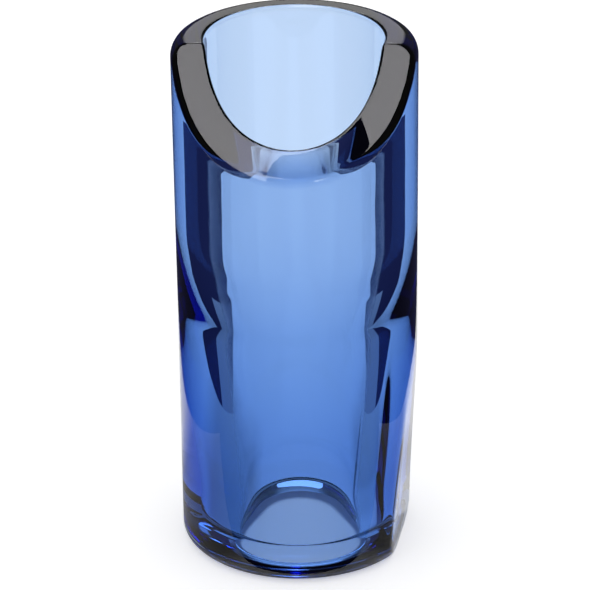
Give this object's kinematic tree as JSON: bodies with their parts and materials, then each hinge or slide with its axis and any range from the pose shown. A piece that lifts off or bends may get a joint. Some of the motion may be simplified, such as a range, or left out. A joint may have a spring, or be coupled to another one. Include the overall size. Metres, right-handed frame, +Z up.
{
  "type": "guitar slide",
  "caption": "Thick clear blue glass tube, worn on a finger to slide along strings, with a narrowing bore, a knuckle scoop in its rim and a ground relief in one side.",
  "frame": {"origin": "centre of the flat tip end, on the surface that the slide stands on", "axes": "+Z up along the bore to the rim, -Y towards the knuckle scoop, +X towards the side relief"},
  "size_m": [0.0268, 0.0268, 0.06],
  "materials": {
    "blue_glass": "clear and glossy, fire-polished edges, lightly ground scoop"
  },
  "bodies": {
    "root": {"glass_tube": "blue_glass"}
  },
  "joints": []
}
